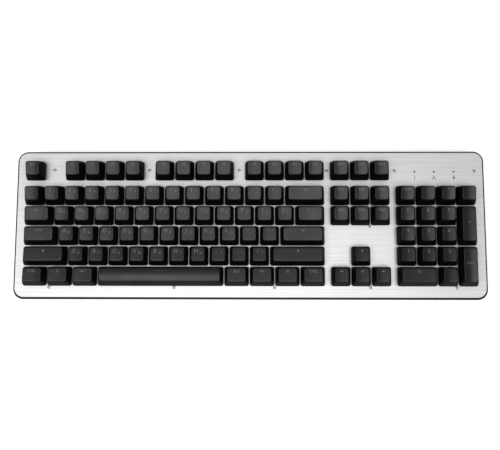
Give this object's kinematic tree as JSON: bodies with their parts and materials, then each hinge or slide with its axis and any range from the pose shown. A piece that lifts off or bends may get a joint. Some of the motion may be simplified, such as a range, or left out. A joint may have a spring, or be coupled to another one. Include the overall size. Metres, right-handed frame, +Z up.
{
  "type": "mechanical keyboard",
  "caption": "Full-size mechanical keyboard: black sculpted caps on plunger switches over a brushed metal plate, in a wedge-shaped case with flip-out rear feet.",
  "frame": {"origin": "on the desk, under the middle of the keyboard's outline", "axes": "+X along the keyboard to the typist's right, +Y to the rear, +Z up"},
  "size_m": [0.4496, 0.143, 0.0427],
  "materials": {
    "key_plastic": "fine-grained black caps with grey legends",
    "case_plastic": "fine-grained black",
    "brushed_plate": "brushed along the keyboard",
    "board": "solder-masked board",
    "chip_plastic": "moulded",
    "switch_plastic": "moulded",
    "spring_steel": "drawn wire",
    "screw_steel": "zinc-plated",
    "lamp_lens": "smoky clear",
    "lamp_chip": "white moulded",
    "socket_steel": "nickel-plated",
    "foot_rubber": "soft black"
  },
  "bodies": {
    "base": {"bottom_case": "case_plastic", "top_plate": "brushed_plate", "circuit_board": "board", "board_diodes": "chip_plastic", "controller_chip": "chip_plastic", "switch_lower_housings": "switch_plastic", "switch_upper_housings": "switch_plastic", "switch_springs": "spring_steel", "stabilizer_housings": "switch_plastic", "stabilizer_wires": "spring_steel", "plate_screws": "screw_steel", "indicator_lenses": "lamp_lens", "indicator_lights": "lamp_chip", "usb_socket": "socket_steel", "front_rubber_pads": "foot_rubber", "rear_rubber_pads": "foot_rubber"},
    "escape_key": {"escape_key": "key_plastic"},
    "f1_to_f4_keys": {"f1_to_f4_keys": "key_plastic"},
    "f5_to_f8_keys": {"f5_to_f8_keys": "key_plastic"},
    "f9_to_f12_keys": {"f9_to_f12_keys": "key_plastic"},
    "system_keys": {"system_keys": "key_plastic"},
    "number_keys_left": {"number_keys_left": "key_plastic"},
    "number_keys_right": {"number_keys_right": "key_plastic"},
    "backspace_key": {"backspace_key": "key_plastic"},
    "navigation_keys": {"navigation_keys": "key_plastic"},
    "numpad_operator_keys": {"numpad_operator_keys": "key_plastic"},
    "tab_key": {"tab_key": "key_plastic"},
    "upper_letter_keys_left": {"upper_letter_keys_left": "key_plastic"},
    "upper_letter_keys_right": {"upper_letter_keys_right": "key_plastic"},
    "backslash_key": {"backslash_key": "key_plastic"},
    "caps_lock_key": {"caps_lock_key": "key_plastic"},
    "home_letter_keys_left": {"home_letter_keys_left": "key_plastic"},
    "home_letter_keys_right": {"home_letter_keys_right": "key_plastic"},
    "enter_key": {"enter_key": "key_plastic"},
    "left_shift_key": {"left_shift_key": "key_plastic"},
    "lower_letter_keys_left": {"lower_letter_keys_left": "key_plastic"},
    "lower_letter_keys_right": {"lower_letter_keys_right": "key_plastic"},
    "right_shift_key": {"right_shift_key": "key_plastic"},
    "arrow_up_key": {"arrow_up_key": "key_plastic"},
    "left_control_key": {"left_control_key": "key_plastic"},
    "left_system_key": {"left_system_key": "key_plastic"},
    "left_alt_key": {"left_alt_key": "key_plastic"},
    "space_bar": {"space_bar": "key_plastic"},
    "right_alt_key": {"right_alt_key": "key_plastic"},
    "function_key": {"function_key": "key_plastic"},
    "menu_key": {"menu_key": "key_plastic"},
    "right_control_key": {"right_control_key": "key_plastic"},
    "arrow_left_key": {"arrow_left_key": "key_plastic"},
    "arrow_down_key": {"arrow_down_key": "key_plastic"},
    "arrow_right_key": {"arrow_right_key": "key_plastic"},
    "numpad_zero_key": {"numpad_zero_key": "key_plastic"},
    "numpad_point_key": {"numpad_point_key": "key_plastic"},
    "numpad_digit_keys": {"numpad_digit_keys": "key_plastic"},
    "numpad_enter_key": {"numpad_enter_key": "key_plastic"},
    "numpad_plus_key": {"numpad_plus_key": "key_plastic"},
    "left_foot": {"left_foot": "case_plastic", "left_foot_pad": "foot_rubber"},
    "right_foot": {"right_foot": "case_plastic", "right_foot_pad": "foot_rubber"}
  },
  "joints": [
    {"name": "escape_key_press", "type": "slide", "parent": "base", "child": "escape_key", "axis": [0, 0.0698, -0.9976], "range_m": [0, 0.004], "stiffness_N_per_m": 75, "springref_m": -0.004},
    {"name": "f1_to_f4_keys_press", "type": "slide", "parent": "base", "child": "f1_to_f4_keys", "axis": [0, 0.0698, -0.9976], "range_m": [0, 0.004], "stiffness_N_per_m": 300, "springref_m": -0.004},
    {"name": "f5_to_f8_keys_press", "type": "slide", "parent": "base", "child": "f5_to_f8_keys", "axis": [0, 0.0698, -0.9976], "range_m": [0, 0.004], "stiffness_N_per_m": 300, "springref_m": -0.004},
    {"name": "f9_to_f12_keys_press", "type": "slide", "parent": "base", "child": "f9_to_f12_keys", "axis": [0, 0.0698, -0.9976], "range_m": [0, 0.004], "stiffness_N_per_m": 300, "springref_m": -0.004},
    {"name": "system_keys_press", "type": "slide", "parent": "base", "child": "system_keys", "axis": [0, 0.0698, -0.9976], "range_m": [0, 0.004], "stiffness_N_per_m": 225, "springref_m": -0.004},
    {"name": "number_keys_left_press", "type": "slide", "parent": "base", "child": "number_keys_left", "axis": [0, 0.0698, -0.9976], "range_m": [0, 0.004], "stiffness_N_per_m": 525, "springref_m": -0.004},
    {"name": "number_keys_right_press", "type": "slide", "parent": "base", "child": "number_keys_right", "axis": [0, 0.0698, -0.9976], "range_m": [0, 0.004], "stiffness_N_per_m": 450, "springref_m": -0.004},
    {"name": "backspace_key_press", "type": "slide", "parent": "base", "child": "backspace_key", "axis": [0, 0.0698, -0.9976], "range_m": [0, 0.004], "stiffness_N_per_m": 75, "springref_m": -0.004},
    {"name": "navigation_keys_press", "type": "slide", "parent": "base", "child": "navigation_keys", "axis": [0, 0.0698, -0.9976], "range_m": [0, 0.004], "stiffness_N_per_m": 450, "springref_m": -0.004},
    {"name": "numpad_operator_keys_press", "type": "slide", "parent": "base", "child": "numpad_operator_keys", "axis": [0, 0.0698, -0.9976], "range_m": [0, 0.004], "stiffness_N_per_m": 300, "springref_m": -0.004},
    {"name": "tab_key_press", "type": "slide", "parent": "base", "child": "tab_key", "axis": [0, 0.0698, -0.9976], "range_m": [0, 0.004], "stiffness_N_per_m": 75, "springref_m": -0.004},
    {"name": "upper_letter_keys_left_press", "type": "slide", "parent": "base", "child": "upper_letter_keys_left", "axis": [0, 0.0698, -0.9976], "range_m": [0, 0.004], "stiffness_N_per_m": 375, "springref_m": -0.004},
    {"name": "upper_letter_keys_right_press", "type": "slide", "parent": "base", "child": "upper_letter_keys_right", "axis": [0, 0.0698, -0.9976], "range_m": [0, 0.004], "stiffness_N_per_m": 525, "springref_m": -0.004},
    {"name": "backslash_key_press", "type": "slide", "parent": "base", "child": "backslash_key", "axis": [0, 0.0698, -0.9976], "range_m": [0, 0.004], "stiffness_N_per_m": 75, "springref_m": -0.004},
    {"name": "caps_lock_key_press", "type": "slide", "parent": "base", "child": "caps_lock_key", "axis": [0, 0.0698, -0.9976], "range_m": [0, 0.004], "stiffness_N_per_m": 75, "springref_m": -0.004},
    {"name": "home_letter_keys_left_press", "type": "slide", "parent": "base", "child": "home_letter_keys_left", "axis": [0, 0.0698, -0.9976], "range_m": [0, 0.004], "stiffness_N_per_m": 375, "springref_m": -0.004},
    {"name": "home_letter_keys_right_press", "type": "slide", "parent": "base", "child": "home_letter_keys_right", "axis": [0, 0.0698, -0.9976], "range_m": [0, 0.004], "stiffness_N_per_m": 450, "springref_m": -0.004},
    {"name": "enter_key_press", "type": "slide", "parent": "base", "child": "enter_key", "axis": [0, 0.0698, -0.9976], "range_m": [0, 0.004], "stiffness_N_per_m": 75, "springref_m": -0.004},
    {"name": "left_shift_key_press", "type": "slide", "parent": "base", "child": "left_shift_key", "axis": [0, 0.0698, -0.9976], "range_m": [0, 0.004], "stiffness_N_per_m": 75, "springref_m": -0.004},
    {"name": "lower_letter_keys_left_press", "type": "slide", "parent": "base", "child": "lower_letter_keys_left", "axis": [0, 0.0698, -0.9976], "range_m": [0, 0.004], "stiffness_N_per_m": 375, "springref_m": -0.004},
    {"name": "lower_letter_keys_right_press", "type": "slide", "parent": "base", "child": "lower_letter_keys_right", "axis": [0, 0.0698, -0.9976], "range_m": [0, 0.004], "stiffness_N_per_m": 375, "springref_m": -0.004},
    {"name": "right_shift_key_press", "type": "slide", "parent": "base", "child": "right_shift_key", "axis": [0, 0.0698, -0.9976], "range_m": [0, 0.004], "stiffness_N_per_m": 75, "springref_m": -0.004},
    {"name": "arrow_up_key_press", "type": "slide", "parent": "base", "child": "arrow_up_key", "axis": [0, 0.0698, -0.9976], "range_m": [0, 0.004], "stiffness_N_per_m": 75, "springref_m": -0.004},
    {"name": "left_control_key_press", "type": "slide", "parent": "base", "child": "left_control_key", "axis": [0, 0.0698, -0.9976], "range_m": [0, 0.004], "stiffness_N_per_m": 75, "springref_m": -0.004},
    {"name": "left_system_key_press", "type": "slide", "parent": "base", "child": "left_system_key", "axis": [0, 0.0698, -0.9976], "range_m": [0, 0.004], "stiffness_N_per_m": 75, "springref_m": -0.004},
    {"name": "left_alt_key_press", "type": "slide", "parent": "base", "child": "left_alt_key", "axis": [0, 0.0698, -0.9976], "range_m": [0, 0.004], "stiffness_N_per_m": 75, "springref_m": -0.004},
    {"name": "space_bar_press", "type": "slide", "parent": "base", "child": "space_bar", "axis": [0, 0.0698, -0.9976], "range_m": [0, 0.004], "stiffness_N_per_m": 75, "springref_m": -0.004},
    {"name": "right_alt_key_press", "type": "slide", "parent": "base", "child": "right_alt_key", "axis": [0, 0.0698, -0.9976], "range_m": [0, 0.004], "stiffness_N_per_m": 75, "springref_m": -0.004},
    {"name": "function_key_press", "type": "slide", "parent": "base", "child": "function_key", "axis": [0, 0.0698, -0.9976], "range_m": [0, 0.004], "stiffness_N_per_m": 75, "springref_m": -0.004},
    {"name": "menu_key_press", "type": "slide", "parent": "base", "child": "menu_key", "axis": [0, 0.0698, -0.9976], "range_m": [0, 0.004], "stiffness_N_per_m": 75, "springref_m": -0.004},
    {"name": "right_control_key_press", "type": "slide", "parent": "base", "child": "right_control_key", "axis": [0, 0.0698, -0.9976], "range_m": [0, 0.004], "stiffness_N_per_m": 75, "springref_m": -0.004},
    {"name": "arrow_left_key_press", "type": "slide", "parent": "base", "child": "arrow_left_key", "axis": [0, 0.0698, -0.9976], "range_m": [0, 0.004], "stiffness_N_per_m": 75, "springref_m": -0.004},
    {"name": "arrow_down_key_press", "type": "slide", "parent": "base", "child": "arrow_down_key", "axis": [0, 0.0698, -0.9976], "range_m": [0, 0.004], "stiffness_N_per_m": 75, "springref_m": -0.004},
    {"name": "arrow_right_key_press", "type": "slide", "parent": "base", "child": "arrow_right_key", "axis": [0, 0.0698, -0.9976], "range_m": [0, 0.004], "stiffness_N_per_m": 75, "springref_m": -0.004},
    {"name": "numpad_zero_key_press", "type": "slide", "parent": "base", "child": "numpad_zero_key", "axis": [0, 0.0698, -0.9976], "range_m": [0, 0.004], "stiffness_N_per_m": 75, "springref_m": -0.004},
    {"name": "numpad_point_key_press", "type": "slide", "parent": "base", "child": "numpad_point_key", "axis": [0, 0.0698, -0.9976], "range_m": [0, 0.004], "stiffness_N_per_m": 75, "springref_m": -0.004},
    {"name": "numpad_digit_keys_press", "type": "slide", "parent": "base", "child": "numpad_digit_keys", "axis": [0, 0.0698, -0.9976], "range_m": [0, 0.004], "stiffness_N_per_m": 675, "springref_m": -0.004},
    {"name": "numpad_enter_key_press", "type": "slide", "parent": "base", "child": "numpad_enter_key", "axis": [0, 0.0698, -0.9976], "range_m": [0, 0.004], "stiffness_N_per_m": 75, "springref_m": -0.004},
    {"name": "numpad_plus_key_press", "type": "slide", "parent": "base", "child": "numpad_plus_key", "axis": [0, 0.0698, -0.9976], "range_m": [0, 0.004], "stiffness_N_per_m": 75, "springref_m": -0.004},
    {"name": "left_foot_hinge", "type": "hinge", "parent": "base", "child": "left_foot", "pos_m": [-0.1615, 0.05953, 0.0035], "axis": [1, 0, 0], "range_deg": [0, 95]},
    {"name": "right_foot_hinge", "type": "hinge", "parent": "base", "child": "right_foot", "pos_m": [0.1615, 0.05953, 0.0035], "axis": [1, 0, 0], "range_deg": [0, 95]}
  ]
}
